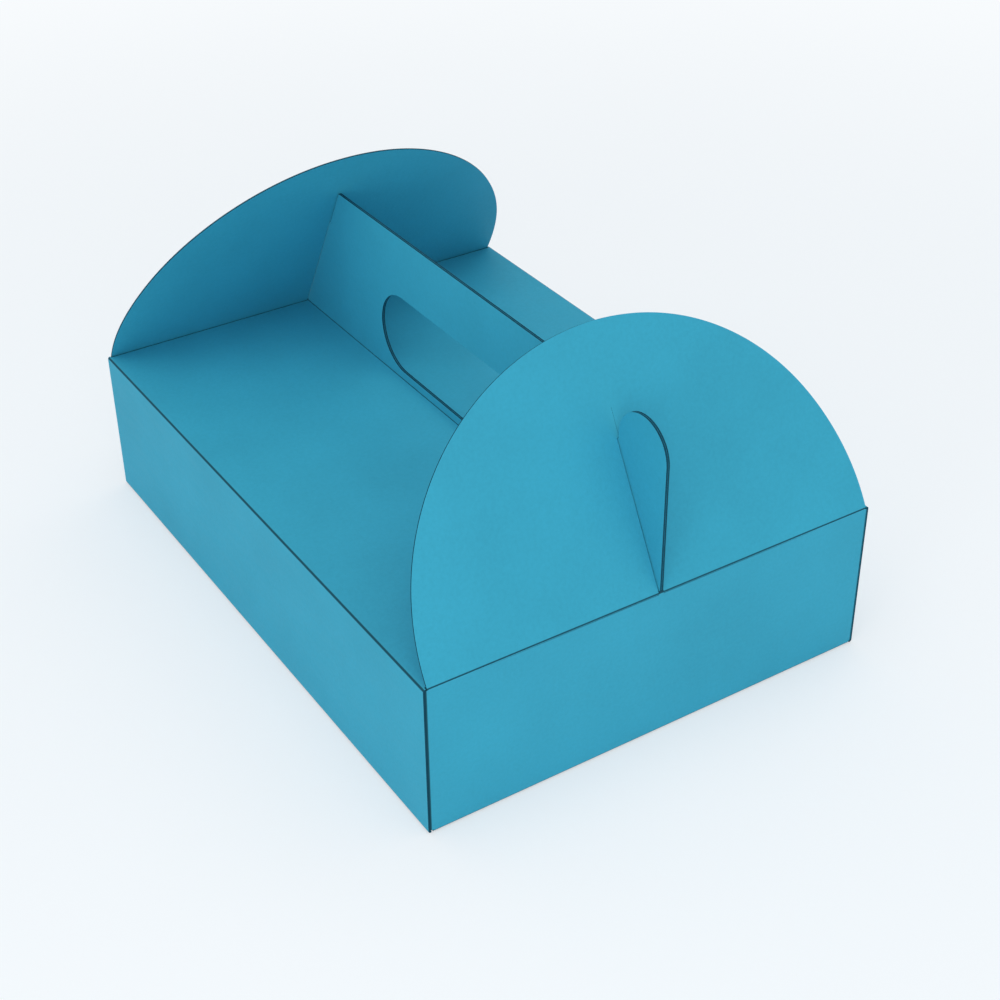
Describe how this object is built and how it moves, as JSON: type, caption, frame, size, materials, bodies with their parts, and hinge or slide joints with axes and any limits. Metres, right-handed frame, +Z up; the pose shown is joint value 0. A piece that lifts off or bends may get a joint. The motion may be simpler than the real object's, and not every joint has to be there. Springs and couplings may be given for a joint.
{
  "type": "takeout food box",
  "caption": "Folded board food box with an upright middle handle, a hand hole and half-round end flaps that hook over the handle's ends.",
  "frame": {"origin": "middle of the base's underside, where the box stands on the table", "axes": "+Z up, +Y along the length of the box and of its handle, +X across the width"},
  "size_m": [0.16, 0.218, 0.1237],
  "materials": {
    "blue_board": "satin"
  },
  "bodies": {
    "carton": {"carton_body": "blue_board"},
    "front_flap": {"front_end_flap": "blue_board"},
    "rear_flap": {"rear_end_flap": "blue_board"}
  },
  "joints": [
    {"name": "front_flap_crease", "type": "hinge", "parent": "carton", "child": "front_flap", "pos_m": [0, -0.10875, 0.05275], "axis": [1, 0, 0], "range_deg": [0, 150]},
    {"name": "rear_flap_crease", "type": "hinge", "parent": "carton", "child": "rear_flap", "pos_m": [0, 0.10875, 0.05275], "axis": [-1, 0, 0], "range_deg": [0, 150]}
  ]
}
